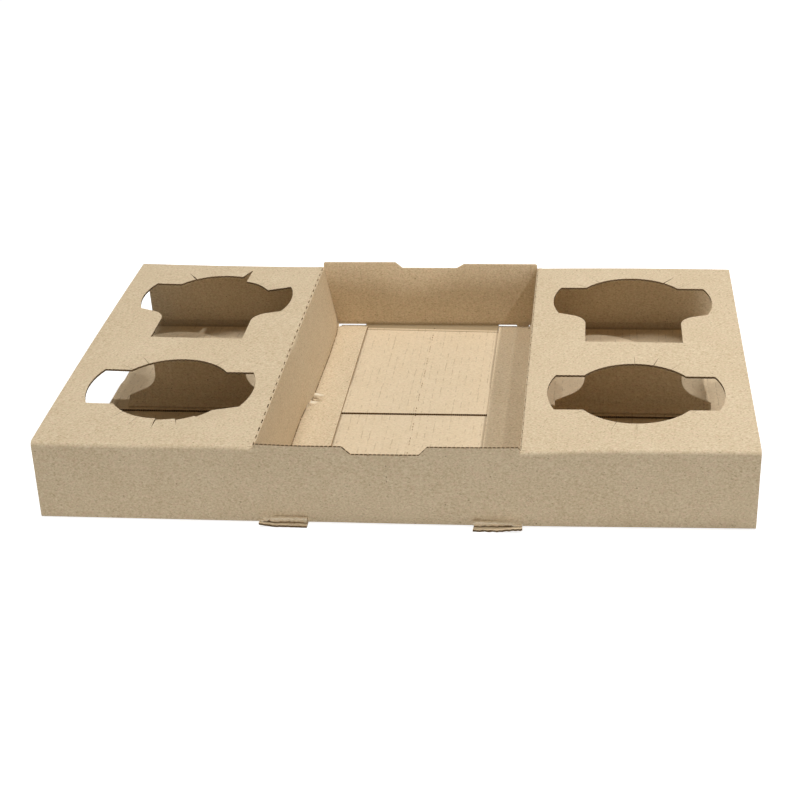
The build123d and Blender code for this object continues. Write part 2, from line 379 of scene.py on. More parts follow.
def fibres(nodes, links, source, cell, turned, radius, kept):
    """One layer of fibres. Its turn about the sheet's normal also moves its cells."""
    return scattered_marks(nodes, links, source, cell, turned, turned[2], radius, kept)


for turned, strength in dark_layers:
    marks = fibres(nodes, links, place, cell=(8, 1.9, 1.9), turned=turned, radius=0.24, kept=0.3)
    colour = tint(nodes, links, colour, marks, strength, fibre_and_shade_dark)
for turned, strength in pale_layers:
    marks = fibres(nodes, links, place, cell=(7, 1.7, 1.7), turned=turned, radius=0.26, kept=0.35)
    colour = tint(nodes, links, colour, marks, strength, kraft_pale)
specks = scattered_marks(
    nodes, links, place, cell=(7, 7, 7), turned=(0, 0, 0), moved=5.0, radius=0.1, kept=0.3
)
colour = tint(nodes, links, colour, specks, 0.62, fibre_and_shade_dark)
print("kraft liner with fibres", len(nodes))

# %% [markdown]
# The inner liner is glued to the tips of the fluting, so broken dark lines show through it at every
# second flute. The tray floor is also painted a little paler, as painted light for the light bounced
# onto it from the walls. A second material could carry these, but its faces would have to be chosen
# again after every cut in the mesh. So one material picks the inner side by where a face lies and
# looks: the floor from above, and the end walls from inside.

# %% Kraft liner: flute marks on the inner side, and painted light on the floor
painted_floor_light = (0.83, 0.68, 0.48, 1)
looks_that_way = 0.5
marks_on_walls = 0.35
mark_waviness = 1.5


def split_vector(nodes, links, vector):
    """The three parts of a vector."""
    node = add_node(nodes, "ShaderNodeSeparateXYZ")
    links.new(vector, node.inputs[0])
    return node.outputs


across, along, up = split_vector(nodes, links, place)
true_normal = add_node(nodes, "ShaderNodeNewGeometry").outputs["True Normal"]
facing = split_vector(nodes, links, true_normal)
looks_up = calculate(nodes, links, "GREATER_THAN", facing[2], looks_that_way)
low_down = calculate(nodes, links, "LESS_THAN", up, (2 * board + slack) * MM)
floor_mask = product(nodes, links, looks_up, low_down)
looks_out = product(nodes, links, calculate(nodes, links, "SIGN", along), facing[1])
wall_mask = calculate(nodes, links, "LESS_THAN", looks_out, -looks_that_way)
wall_mask = product(nodes, links, wall_mask, marks_on_walls)
inner_mask = calculate(nodes, links, "MAXIMUM", floor_mask, wall_mask)
# Painted light: the floor is made paler than the rest of the liner.
colour = tint(nodes, links, colour, floor_mask, 0.4, painted_floor_light)

turns = product(nodes, links, across, math.pi / (flute_pitch * MM))
wander = noise_field(nodes, links, place, cell=(9, 5, 5), detail=1.0)
turns = calculate(nodes, links, "ADD", turns, product(nodes, links, wander, mark_waviness))
line = ramp(nodes, links, calculate(nodes, links, "SINE", turns), low=0.82, high=0.99)
breaks = noise_field(nodes, links, place, cell=(3.2, 5, 5))
breaks = ramp(nodes, links, breaks, low=0.47, high=0.62)
flute_marks = product(nodes, links, product(nodes, links, line, breaks), inner_mask)
colour = tint(nodes, links, colour, flute_marks, 0.3, fibre_and_shade_dark)
print("kraft liner with flute marks", len(nodes))

# %% [markdown]
# At the foot of the back wall the fold has crushed the board, and a fine groove runs slightly
# aslant over the tray floor. Their shade is painted: the board behind the groove is painted darker,
# the groove is a dark line, and a band of painted shade and the dark fold follow, the fold darker
# towards its ends. They could be modelled, but they are far shallower than the board is thick and
# are seen only as tone. So each is painted by its distance from the groove or from the fold.

# %% Kraft liner: painted shade along the fold behind the tray
kraft_shaded = (0.3, 0.22, 0.12, 1)
groove_y = 135.1
groove_slant = 0.033
groove_half_length = 56.0
band_half_length = 54.0
fold_y = 141.4
foot_height = 6.0
fold_weakest, fold_gain = 0.1, 0.5


def distance_ramp(nodes, links, source, low, high):
    """Maps a distance to 0 at low and 1 at high, both in millimetres."""
    return ramp(nodes, links, source, low * MM, high * MM)


slanted = calculate(nodes, links, "ADD", along, product(nodes, links, across, groove_slant))
past_groove = calculate(nodes, links, "SUBTRACT", slanted, groove_y * MM)
from_middle = calculate(nodes, links, "ABSOLUTE", across)
in_tray = calculate(nodes, links, "LESS_THAN", from_middle, groove_half_length * MM)
in_tray = product(nodes, links, in_tray, floor_mask)
shadowed = distance_ramp(nodes, links, past_groove, low=0.2, high=0.8)
shadowed = product(nodes, links, shadowed, in_tray)
groove_shade = calculate(nodes, links, "ABSOLUTE", past_groove)
groove_shade = distance_ramp(nodes, links, groove_shade, low=0.8, high=0.3)
groove_shade = product(nodes, links, groove_shade, in_tray)
band_shade = distance_ramp(nodes, links, past_groove, low=2.6, high=3.4)
band_shade = product(nodes, links, band_shade, distance_ramp(nodes, links, up, low=5.5, high=3.2))
in_band = calculate(nodes, links, "LESS_THAN", from_middle, band_half_length * MM)
band_shade = product(nodes, links, band_shade, in_band)
from_fold = calculate(nodes, links, "SUBTRACT", along, fold_y * MM)
from_fold = calculate(nodes, links, "ABSOLUTE", from_fold)
near_foot = calculate(nodes, links, "LESS_THAN", up, foot_height * MM)
fold_line_shade = distance_ramp(nodes, links, from_fold, low=2.4, high=0.8)
fold_line_shade = product(nodes, links, fold_line_shade, near_foot)
fold_shade_strength = distance_ramp(nodes, links, from_middle, low=30, high=90)
fold_shade_strength = product(nodes, links, fold_shade_strength, fold_gain)
fold_shade_strength = calculate(nodes, links, "ADD", fold_shade_strength, fold_weakest)

# Painted shade: the floor past the groove, the band, the groove and the fold are darkened here.
colour = tint(nodes, links, colour, shadowed, 0.3, kraft_deep_and_shade)
colour = tint(nodes, links, colour, band_shade, 0.8, kraft_shaded)
colour = tint(nodes, links, colour, groove_shade, 0.75, fibre_and_shade_dark)
colour = tint(nodes, links, colour, fold_line_shade, fold_shade_strength, fibre_and_shade_dark)
print("kraft liner with the crushed fold", len(nodes))

# %% [markdown]
# The lower crease of the left side panel is torn. Where it gapes, the shade in the gap is painted
# dark, and where the liner has lifted it is pale torn paper. A pattern on coordinates can't follow
# that crooked crease, so each point of the mesh carries a number, read here as a point attribute,
# which is 1 where it gapes and -1 where it has lifted. The mesh gets it further down. The grain
# and the flute marks also give the liner its bump, and that finishes the material.

# %% Kraft liner: torn paper, painted shade in the crease, and bump
paper_torn = (0.92, 0.83, 0.66, 1)
grain_height = 0.6
bump_depth = 0.12
shade_and_wear_fac = add_node(nodes, "ShaderNodeAttribute", attribute_name="crease_shade_and_wear").outputs["Fac"]
crease_breaks = noise_field(nodes, links, place, cell=(3, 1.6, 3))
crease_breaks = ramp(nodes, links, crease_breaks, low=0.36, high=0.5)
# Where the crease gapes, the shade in the gap is painted dark.
gap_shade = ramp(nodes, links, shade_and_wear_fac, low=0.1, high=0.75)
gap_shade = product(nodes, links, gap_shade, crease_breaks)
lifted = ramp(nodes, links, shade_and_wear_fac, low=-0.15, high=-0.7)
colour = tint(nodes, links, colour, gap_shade, 0.9, fibre_and_shade_dark)
colour = tint(nodes, links, colour, lifted, 0.8, paper_torn)
links.new(colour, shader.inputs["Base Color"])

height = product(nodes, links, grain, grain_height)
height = calculate(nodes, links, "SUBTRACT", height, flute_marks)
bump = add_node(nodes, "ShaderNodeBump", Strength=0.35, Distance=bump_depth * MM)
links.new(height, bump.inputs["Height"])
links.new(bump.outputs[0], shader.inputs["Normal"])
print("kraft liner finished", len(nodes))

# %% [markdown]
# A cut edge shows the board's make-up: two thin liners, and between them the wave of the fluting
# with hollows, whose darkness is painted shade. The fluting could be modelled as a real sheet inside
# the board, but only its cut ends are ever seen. So the wave is drawn on the edge. Its paper is
# painted darker than the liner, partly for its own colour and partly as painted shade. Each face
# corner there carries a number, through_board, that runs from 0 at one liner to 1 at the other.

# %% Cut edge material, with painted shade in the flute hollows
hollow_shade = (0.085, 0.05, 0.024, 1)
cut_paper_and_shade = (0.36, 0.25, 0.14, 1)
wave_height = 0.3
edge_bump_depth = 0.4
cut_edge, nodes, links, output = new_material("cut_edge")
shader = add_node(nodes, "ShaderNodeBsdfPrincipled", Roughness=0.92)
shader.inputs["Specular IOR Level"].default_value = 0.12
links.new(shader.outputs[0], output.inputs[0])
place = add_node(nodes, "ShaderNodeTexCoord").outputs["Object"]
across = split_vector(nodes, links, place)[0]
turns = product(nodes, links, across, 2 * math.pi / (flute_pitch * MM))
wave = product(nodes, links, calculate(nodes, links, "SINE", turns), wave_height)
depth = add_node(nodes, "ShaderNodeAttribute", attribute_name="through_board").outputs["Fac"]
off_centre = calculate(nodes, links, "SUBTRACT", depth, 0.5)
from_wave = calculate(nodes, links, "SUBTRACT", off_centre, wave)
from_wave = calculate(nodes, links, "ABSOLUTE", from_wave)
on_wave = ramp(nodes, links, from_wave, low=0.17, high=0.1)
from_centre = calculate(nodes, links, "ABSOLUTE", off_centre)
on_liner = ramp(nodes, links, from_centre, low=0.36, high=0.42)
paper = calculate(nodes, links, "MAXIMUM", on_wave, on_liner)
# Painted shade: the hollows are near black, and the paper is darkened partly as painted shade.
colour = blend_colour(nodes, links, paper, hollow_shade, cut_paper_and_shade)
links.new(colour, shader.inputs["Base Color"])
bump = add_node(nodes, "ShaderNodeBump", Strength=0.8, Distance=edge_bump_depth * MM)
links.new(paper, bump.inputs["Height"])
links.new(bump.outputs[0], shader.inputs["Normal"])
print("cut edge nodes", len(nodes))

# %% [markdown]
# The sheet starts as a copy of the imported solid, whose mesh is loose triangles. They could be
# used as they are, but long thin triangles bend badly. So the copy's doubles are merged, and its
# flat areas are dissolved into large faces.

# %% The folded sheet
weld_distance = 0.01
flat_within = 0.5
packed = frame["nodes"]["carrier"]
bpy.ops.object.select_all(action="DESELECT")
sheet = packed.copy()
sheet.data = packed.data.copy()
sheet.name = "folded_sheet"
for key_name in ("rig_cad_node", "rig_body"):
    if key_name in sheet:
        del sheet[key_name]
sheet.parent = None
scene.collection.objects.link(sheet)
bpy.context.view_layer.objects.active = sheet
sheet.select_set(True)
sheet.data.materials.clear()
sheet.data.materials.append(kraft)
sheet.data.materials.append(cut_edge)
if sheet.data.has_custom_normals:
    bpy.ops.mesh.customdata_custom_splitnormals_clear()

bpy.ops.object.mode_set(mode="EDIT")
bpy.ops.mesh.select_all(action="SELECT")
bpy.ops.mesh.remove_doubles(threshold=weld_distance * MM)
bpy.ops.mesh.dissolve_limited(angle_limit=math.radians(flat_within))
sheet.update_from_editmode()
print("sheet faces", len(sheet.data.polygons))

# %% [markdown]
# A large flat face has no points to bend by. Subdivision would split it unevenly, because the
# faces have many corners and holes. So the whole sheet is bisected along evenly spaced planes,
# every 12 mm along and across it, and every 10 mm up.

# %% Even cuts
cut_threshold = 0.001


def slice_sheet(point, normal):
    """Cuts what is selected along a plane through a point in millimetres."""
    plane_point = [v * MM for v in point]
    bpy.ops.mesh.bisect(plane_co=plane_point, plane_no=normal, threshold=cut_threshold * MM)


def slice_evenly(axis, first, last, step):
    """Cuts the whole sheet along planes at even steps."""
    for n in range(int((last - first) / step) + 1):
        point, normal = [0, 0, 0], [0, 0, 0]
        point[axis] = first + n * step
        normal[axis] = 1
        bpy.ops.mesh.select_all(action="SELECT")
        slice_sheet(point, normal)


slice_evenly(axis=0, first=-222, last=222, step=12)
slice_evenly(axis=1, first=-130, last=137, step=12)
slice_evenly(axis=2, first=10, last=50, step=10)
bpy.ops.object.mode_set(mode="OBJECT")
print("sheet faces after even cuts", len(sheet.data.polygons))

# %% [markdown]
# The rim of a cup hole is cut into teeth that give way round a cup, and a few teeth of this
# carrier are already bent down. Moved as they are, they would kink along whatever edges the even
# cuts left. So each gets a crease of its own first, sliced across its root.

# %% Creases at the roots of bent teeth
tooth_middle = 48.0
tooth_reach = 22.0
deck_from_z = deck_z - 2


def select_faces(wanted):
    """Selects the faces whose centre, in millimetres, passes a test."""
    bpy.ops.object.mode_set(mode="EDIT")
    bpy.ops.mesh.select_all(action="DESELECT")
    bpy.ops.object.mode_set(mode="OBJECT")
    for face in sheet.data.polygons:
        face.select = wanted(face.center / MM)
    bpy.ops.object.mode_set(mode="EDIT")


def on_circle(centre, radius, angle):
    """The point on a circle round a hole, at an angle in degrees."""
    turned = math.radians(angle)
    return Vector((centre[0] + radius * math.cos(turned), centre[1] + radius * math.sin(turned)))


front_left = Vector((-hole_x, front_row_y))
front_right = Vector((hole_x, front_row_y))
back_left = Vector((-hole_x, back_row_y))
back_right = Vector((hole_x, back_row_y))

# Each row: hole, first and last angle, radius and angle of both root ends, and degrees of bend
bent_teeth = [
    (back_left, (22, 72), (slit_outer, 67), (61.6, 22.4), 17),
    (front_left, (-72, -54), (slit_outer, -72), (slit_outer, -54), 9),
    (front_left, (-54, -24), (slit_outer, -54), (58, -24.5), 13),
    (front_left, (-90, -72), (slit_outer, -90), (slit_outer, -72), 4),
]
for hole, angles, root_from, root_to, bend in bent_teeth:
    near = on_circle(hole, tooth_middle, (angles[0] + angles[1]) / 2)
    select_faces(lambda c: c.z > deck_from_z and (c.xy - near).length < tooth_reach)
    root_point = on_circle(hole, *root_from)
    along_root = on_circle(hole, *root_to) - root_point
    slice_sheet((*root_point, deck_z), (-along_root.y, along_root.x, 0))
bpy.ops.object.mode_set(mode="OBJECT")
print("bent teeth", len(bent_teeth), "faces", len(sheet.data.polygons))

# %% [markdown]
# A tongue comes out of each front slot, under a small flap that it has pushed out, and the ends of
# both are ragged. A straight edge can only be made ragged if it has points to move, so the tongues
# and flaps are sliced finely, and the rest of the sheet stays light.

# %% Cuts for ragged tabs
tab_from_x, tab_to_x = 50.0, 88.0
tab_zone_y, tab_zone_z = front_y + 0.2, 7.0
tab_cuts = 26
tab_cut_step = 1.5


def at_front_tabs(c):
    """Whether a place is on a tongue or flap in front of the front wall."""
    return c.y < tab_zone_y and c.z < tab_zone_z and tab_from_x < abs(c.x) < tab_to_x


for n in range(tab_cuts):
    for side in (-1, 1):
        select_faces(at_front_tabs)
        slice_sheet((side * (tab_from_x + n * tab_cut_step), 0, 0), (1, 0, 0))
bpy.ops.object.mode_set(mode="OBJECT")
print("faces after tab cuts", len(sheet.data.polygons))

# %% [markdown]
# The lower crease of the left panel steps outwards near its middle, and it is torn there. The wear
# and the painted shade of the crease are painted from point to point, so they would fade out over a
# whole face. Cuts close beside the crease, on the panel and on the flange, keep them narrow, and
# short ones across the step let the torn liner lift in places.

# %% Cuts beside the left lower crease
crease_front_x, crease_back_x = -79.0, -74.2
step_from_y, step_to_y = 1.25, 25.25
crease_width = 0.8
past_front, past_back = -200, 200
slant_from_y, slant_to_y = 1.9, 25.9
wall_clearance = 2
panel_foot_x, panel_foot_z = (-85, -66), (3.2, 12)
flange_edge_x, flange_edge_z = (-82, -55), (4.4, 4.8)
torn_x, torn_y, torn_z = (-82, -70), (-8, 34), (4.4, 12)
torn_cuts = 16
torn_cut_from, torn_cut_step = -2, 1.9


def within(value, limits):
    """Whether a value lies between two limits."""
    return limits[0] < value < limits[1]


def on_panel_foot(c):
    """Whether a place is on the foot of the left panel, clear of the end walls."""
    clear = abs(c.y - middle_y) < wall_y - wall_clearance
    return clear and within(c.x, panel_foot_x) and within(c.z, panel_foot_z)


select_faces(on_panel_foot)
slice_sheet((0, 0, flange_z + crease_width), (0, 0, 1))
step_slant = (step_to_y - step_from_y, crease_front_x - crease_back_x, 0)
crease_cuts = [
    ((past_front, slant_from_y), (crease_front_x, 0), (1, 0, 0)),
    ((slant_from_y, slant_to_y), (crease_front_x, step_from_y), step_slant),
    ((slant_to_y, past_back), (crease_back_x, 0), (1, 0, 0)),
]
for span, (x, y), normal in crease_cuts:
    select_faces(
        lambda c: within(c.x, flange_edge_x) and within(c.z, flange_edge_z) and within(c.y, span)
    )
    slice_sheet((x + crease_width, y, 0), normal)
for n in range(torn_cuts):
    select_faces(lambda c: within(c.x, torn_x) and within(c.z, torn_z) and within(c.y, torn_y))
    slice_sheet((0, torn_cut_from + torn_cut_step * n, 0), (0, 1, 0))
bpy.ops.object.mode_set(mode="OBJECT")
print("faces after crease cuts", len(sheet.data.polygons))

# %% [markdown]
# The back slot of the right tab is shut over the middle of its length. It could be shut in the
# solid, but that closed stretch belongs to this one used carrier. So four short cuts mark where it
# starts and ends. After the last cut, every face is split into triangles, because a face with many
# corners doesn't stay flat once its points move.

# %% Cuts at the right back slot
shut_from_x, shut_to_x = 67.5, 77.0
shut_taper = 0.6
back_slot_x = (50, 84)
back_slot_height, back_slot_depth = 10, 5


def at_back_slot(c):
    """Whether a place is at the right tab's slot in the back wall."""
    return within(c.x, back_slot_x) and c.z < back_slot_height and c.y > back_y - back_slot_depth


for x in (shut_from_x, shut_from_x + shut_taper, shut_to_x - shut_taper, shut_to_x):
    select_faces(at_back_slot)
    slice_sheet((x, 0, 0), (1, 0, 0))
bpy.ops.mesh.select_all(action="SELECT")
bpy.ops.mesh.quads_convert_to_tris(quad_method="BEAUTY", ngon_method="BEAUTY")
bpy.ops.object.mode_set(mode="OBJECT")
print("sheet triangles", len(sheet.data.polygons))

# %% [markdown]
# The faces on a cut edge get the cut edge material. They could be picked by hand in edit mode,
# but there are many, so they are known by where they lie and which way they look. This comes
# before any bending, while every panel is still square. Each corner also gets its place between
# the two liners. Edges that are seen from afar get one value, where the wave draws dashes.

# %% Cut edges
square_on, steep, flat_lying = 0.9, 0.5, 0.4
wall_inset = 4
rim_from_x, tray_to_x = half_tray + 3, half_tray + 0.5
raised_from_z = 49
flange_free_x, flange_free_z = (-53, -50), 4.7
tongue_top_z = 2.6
wall_top_outer, wall_top_inner = 0.88, 0.72
flange_value = 0.5
seam_from, seam_spread = 0.4, 0.2


def edge_kind(centre, normal):
    """Which cut edge a face lies on, or nothing where it is liner."""
    inside = abs(centre.y - middle_y) < wall_y - wall_inset
    in_deck = deck_z - board - slack / 2 < centre.z < deck_z + slack / 2
    raised_front = centre.z > raised_from_z and centre.y < front_y + wall_inset
    on_flange = within(centre.x, flange_free_x) and centre.z < flange_free_z
    on_upper_flap = board - slack < centre.z < 2 * board + slack
    if in_deck and abs(normal.z) < flat_lying and inside and abs(centre.x) > rim_from_x:
        return "rim"
    if raised_front and abs(centre.x) < tray_to_x and abs(normal.y) < steep:
        return "wall_top"
    if inside and on_flange and normal.x > square_on:
        return "flange"
    if inside and on_upper_flap and normal.y < -square_on and centre.y < middle_y:
        return "seam"
    if centre.y < front_y - 1 and normal.y < -steep and centre.z < tongue_top_z:
        return "tongue"
    if abs(centre.x) > half_length - slack and abs(normal.x) > square_on:
        return "end"
    return None


def place_in_board(kind, point):
    """Place of a corner between the two liners, from 0 to 1."""
    if kind == "rim":
        return 1.0 if point.z > deck_z - board / 2 else 0.0
    if kind == "wall_top":
        outside = abs(point.y - middle_y) > wall_y - board / 2
        return wall_top_outer if outside else wall_top_inner
    if kind == "flange":
        return flange_value
    # The seam is set near the middle of the board, where the dark hollows lie, as painted shade for
    # the gap along the seam.
    if kind == "seam":
        return seam_from + seam_spread * (point.z - board) / board
    if kind == "tongue":
        return point.z / board % 1.0
    from_outside = min(deck_z - point.z, point.z, wall_y - abs(point.y - middle_y))
    return 1.0 if from_outside < board / 2 else 0.0


mesh = sheet.data
through = mesh.attributes.new("through_board", "FLOAT", "CORNER")
edge_count = 0
for face in mesh.polygons:
    kind = edge_kind(face.center / MM, face.normal)
    if kind is None:
        continue
    face.material_index = 1
    edge_count += 1
    for corner in face.loop_indices:
        point = mesh.vertices[mesh.loops[corner].vertex_index].co / MM
        through.data[corner].value = place_in_board(kind, point)
print("cut edge faces", edge_count)

# %% [markdown]
# A used carrier is never square, and from here on the sheet is bent into its real state. Sculpting
# by hand could do it, but a rule for each bend can be read and changed. Every rule moves points of
# a list in millimetres, which goes back to the mesh at the end. The first one is the knife slits
# round the cup holes: each stands open by its own amount at the rim and narrows to its blind end.

# %% Knife slits
cut_half_width = 0.1
cut_play = 0.02
shut_width = 0.03
slit_taper = 0.85
slit_from, slit_to = slit_inner - 0.5, slit_outer + 0.3
slit_step = 18
slit_angles = range(2 * slit_step, 8 * slit_step + 1, slit_step)
# Width of each slit at the rim, by its angle. Those not listed stay shut.
open_slits = [
    (front_right, {72: 0.5, 54: 0.25, 90: 0.25, -108: 0.3, -90: 0.3, -36: 0.25, -144: 0.25}),
    (back_right, {54: 1.0, 126: 0.3, 144: 0.35, 36: 0.3}),
    (front_left, {126: 0.35, 144: 0.35, 54: 0.3, -126: 0.3, -108: 0.25, -90: 0.4, -72: 0.4}),
    (back_left, {126: 1.1, 72: 2.6}),
]
points = [vertex.co / MM for vertex in mesh.vertices]
moved_count = 0
for hole, widths in open_slits:
    for point in points:
        arm = point.xy - hole
        if point.z < deck_from_z or arm.length > slit_to:
            continue
        angle = math.degrees(math.atan2(arm.y, arm.x))
        slit = slit_step * round(angle / slit_step)
        ray = Vector((math.cos(math.radians(slit)), math.sin(math.radians(slit))))
        reach = arm.dot(ray)
        aside = arm.x * -ray.y + arm.y * ray.x
        if abs(slit) not in slit_angles or reach < slit_from:
            continue
        if not cut_half_width - cut_play <= abs(aside) <= cut_half_width + cut_play:
            continue
        width = widths.get(slit, shut_width)
        width *= 1 - slit_taper * (reach - slit_inner) / (slit_outer - slit_inner)
        spread = math.copysign(width / 2, aside) - aside
        point.x -= ray.y * spread
        point.y += ray.x * spread
        moved_count += 1
print("slit points moved", moved_count)

# %% [markdown]
# The tear line is a row of short cuts across the tray, so that the carrier can be torn in two.
# The solid has every cut at one width. On the real one, two cuts show on the front wall, and
# those of the floor stand open here and there. Other cuts could be left out of the solid, but
# they are there, only shut. So each cut is widened or shut, and all stay shut at the underside,
# or the white studio floor would shine through them.

# %% Tear line
wall_tear_x = 0.6
floor_tear_x = 2.2
tear_pitch = 4.0
shown_cuts = ((41, 45), (33, 37))
tear_foot_z = 4
wall_cut_open, floor_cut_open, cut_shut = 3.0, 3.6, 0.1


def beside_cut(point, line_x):
    """Whether a point lies on the side of a cut along a line."""
    return abs(abs(point.x - line_x) - cut_half_width) < cut_play


torn_points = 0
for point in points:
    if point.y < front_y + board + slack and beside_cut(point, wall_tear_x) and point.z > tear_foot_z:
        shown = any(within(point.z, cut) for cut in shown_cuts)
        widening = wall_cut_open if shown else cut_shut
        point.x = wall_tear_x + (point.x - wall_tear_x) * widening
        torn_points += shown
    elif point.z < 2 * board + slack and beside_cut(point, floor_tear_x):
        cut_number = round((point.y - middle_y) / tear_pitch)
        shown = cut_number * 7 % 5 in (0, 2, 3) and point.z > slack
        widening = floor_cut_open if shown else cut_shut
        point.x = floor_tear_x + (point.x - floor_tear_x) * widening
        torn_points += shown
print("tear line points opened", torn_points)

# %% [markdown]
# Each bent tooth turns down about the crease at its root. An armature could turn it, but four
# teeth don't need one: a point drops by its distance from the root, and comes in a little, as on
# a hinge.

# %% Bent teeth
past_roots = 62
for hole, angles, root_from, root_to, bend in bent_teeth:
    root_point = on_circle(hole, *root_from)
    root = (on_circle(hole, *root_to) - root_point).normalized()
    inward = Vector((-root.y, root.x))
    if inward.dot(hole - root_point) < 0:
        inward = -inward
    drop, pull = math.sin(math.radians(bend)), 1 - math.cos(math.radians(bend))
    for point in points:
        arm = point.xy - hole
        angle = math.degrees(math.atan2(arm.y, arm.x))
        from_root = (point.xy - root_point).dot(inward)
        if point.z < deck_from_z or from_root <= 0 or not within(angle, angles):
            continue
        if arm.length > past_roots:
            continue
        point.z -= from_root * drop
        point.x -= inward.x * from_root * pull
        point.y -= inward.y * from_root * pull
    print("tooth bent by", bend, "degrees")

# %% [markdown]
# The left crease gapes along most of its length, and at its step the torn liner has lifted in two
# tufts. They could be sculpted, but noise along the crease does it the same way on every run. It
# chooses where a point is lifted, and the others sink a little. Both are also written to a point
# attribute that the kraft material reads: 1 where it gapes, which gets painted shade, and -1 where
# the liner has lifted, which turns pale.

# %% Wear and painted shade of the left crease
# Lean of the panel at its lower crease as the solid has it, by place along the tray
left_lean_made = [(-200, 5.0), (1.25, 5.0), (25.25, 9.8), (200, 9.8)]
tuft_waves, tuft_seed = 0.31, (4.2, 0.7)
tuft_above = -0.12
tuft_rise, tuft_rise_gain = 0.9, 1.6
tuft_push, tuft_push_gain = 0.7, 1.2
gap_drop, gap_pull = 0.5, 0.3


def blend_between(value, table):
    """Reads a value from a short table of places and amounts, straight between its rows."""
    for (x0, y0), (x1, y1) in zip(table, table[1:]):
        if value <= x1:
            part = max(0.0, (value - x0) / (x1 - x0))
            return y0 + (y1 - y0) * part
    return table[-1][1]


gap_shade_and_wear = mesh.attributes.new("crease_shade_and_wear", "FLOAT", "POINT")
for index, point in enumerate(points):
    from_crease = point.x + half_tray - blend_between(point.y, left_lean_made)
    if abs(from_crease) > slack or abs(point.z - flange_z) > slack:
        continue
    if abs(point.y - middle_y) > wall_y - 2 * board:
        continue
    torn = noise.noise(Vector((tuft_waves * point.y, *tuft_seed)))
    if step_from_y < point.y < step_to_y and torn > tuft_above:
        gap_shade_and_wear.data[index].value = -1.0
        point.z += tuft_rise + tuft_rise_gain * torn
        point.x += tuft_push + tuft_push_gain * torn
    else:
        # A gaping point: its value paints shade into the crease.
        gap_shade_and_wear.data[index].value = 1.0
        point.z -= gap_drop
        point.x -= gap_pull
print("crease points lifted", len([w for w in gap_shade_and_wear.data if w.value < 0]))

# %% [markdown]
# The panel above that crease isn't flat. Its foot follows the crooked crease, and higher up it is
# smoother. One lean for the whole panel would carry the kinks up to the fold. So two tables of
# lean are blended: a sharp one near the crease and a soft one above it.

# %% Lean of the left panel
left_lean_real = [(-200, 5.0), (-14, 5.1), (3, 6.2), (14, 8.6), (30, 9.2), (88, 10.3)]
left_lean_real += [(129, 10.0), (142, 7.8)]
left_lean_soft = [(-200, 5.0), (-30, 5.3), (50, 9.6), (129, 10.0), (142, 7.8)]
crease_sharp_to = 16.0
sharp_gain = 1.4
panel_margin = 0.2
panel_x = (-half_tray - panel_margin, -60)
panel_z = (2 * board, deck_z - slack)


def clamp(value):
    """A value kept from 0 to 1."""
    return max(0.0, min(1.0, value))


leaned = 0
for point in points:
    if not within(point.x, panel_x) or not within(point.z, panel_z):
        continue
    if abs(point.y - middle_y) > wall_y - board - panel_margin:
        continue
    depth = min(1.0, (deck_z - point.z) / (deck_z - flange_z))
    sharp = clamp((crease_sharp_to - point.z) / crease_sharp_to * sharp_gain)
    real = sharp * blend_between(point.y, left_lean_real)
    real += (1 - sharp) * blend_between(point.y, left_lean_soft)
    point.x += (real - blend_between(point.y, left_lean_made)) * depth
    leaned += 1
print("panel points leaned", leaned)

# %% [markdown]
# At the left end of the carrier the floor flaps end short of the decks, and so does the back wall.
# It is a matter of a few millimetres on this one carrier, so the end points are moved in here.

# %% Short left end
floor_end_short = 3.2
wall_end_short = 1.2
floor_top_z = 3.2
wall_end_top_z = deck_z - 6
for point in points:
    if point.x >= -half_length + slack:
        continue
    if abs(point.y - middle_y) < wall_y - board - slack:
        point.x += floor_end_short if point.z < floor_top_z else 0.0
    elif point.y > 0 and point.z < wall_end_top_z:
        point.x += wall_end_short
print("floor ends short by", floor_end_short, "mm")

# %% [markdown]
# Board warps with damp and use. How far each deck rises or sinks was measured from the places of
# its corners, folds and hole rims in the photograph. A lattice could bend it, but a short sum of
# smooth shapes says more: a lift, a tilt each way, a twist, a bow each way, and two mixed bends.
# The warp fades towards the table, because the floor lies flat, and it is capped, so that the
# sheet stays inside the solid's box. The front wall bows at its foot and its top fold is set back,
# each by a table along x.

# %% Warp of the decks and bow of the front wall
# Amounts in millimetres: lift, tilt across and along, twist, bow across and along, two mixed bends
left_warp = (-0.46, 0.0, -0.12, 1.14, 2.42, -1.07, -0.58, -0.27)
right_warp = (-0.15, -0.11, -0.99, -0.28, -0.71, -1.48, 2.16, -1.52)
highest = 1.95
front_bow = [(-230, -1.3), (-97, -1.3), (-40, -0.5), (0, -0.5), (80, 0.0), (230, 3.4)]
bow_reach = 70.0
front_set_back = [(-230, 3.4), (-155, 4.4), (-110, 5.2), (-85, 2.6), (-60, 0.8), (0, 0.3)]
front_set_back += [(60, 1.0), (85, 2.0), (133, 4.4), (181, 3.2), (230, 2.4)]
set_back_reach = 22.0
# How much of the warp each raised end of a wall takes, by right or left and back or front
raised_share = {(False, False): 0.6, (True, False): 0.05, (False, True): 0.1, (True, True): 0.7}
raised_end_z = deck_z + 0.5
at_deck_fold = 0.001
notch_half, notch_z = 38.0, 48


def warp_at(amounts, x, y):
    """Rise of a deck at a distance from its inner fold and from the middle of its length."""
    shapes = (1, x, y, x * y, x * x, y * y, x * y * y, x * x * y)
    return sum(amount * shape for amount, shape in zip(amounts, shapes))


def rise_at(point, x, y):
    """Rise of the sheet at a point: that of its deck, or across the tray a blend of both."""
    if x >= 0:
        return warp_at(left_warp if point.x < 0 else right_warp, x, y)
    part = (point.x + half_tray) / (2 * half_tray)
    return (1 - part) * warp_at(left_warp, 0, y) + part * warp_at(right_warp, 0, y)


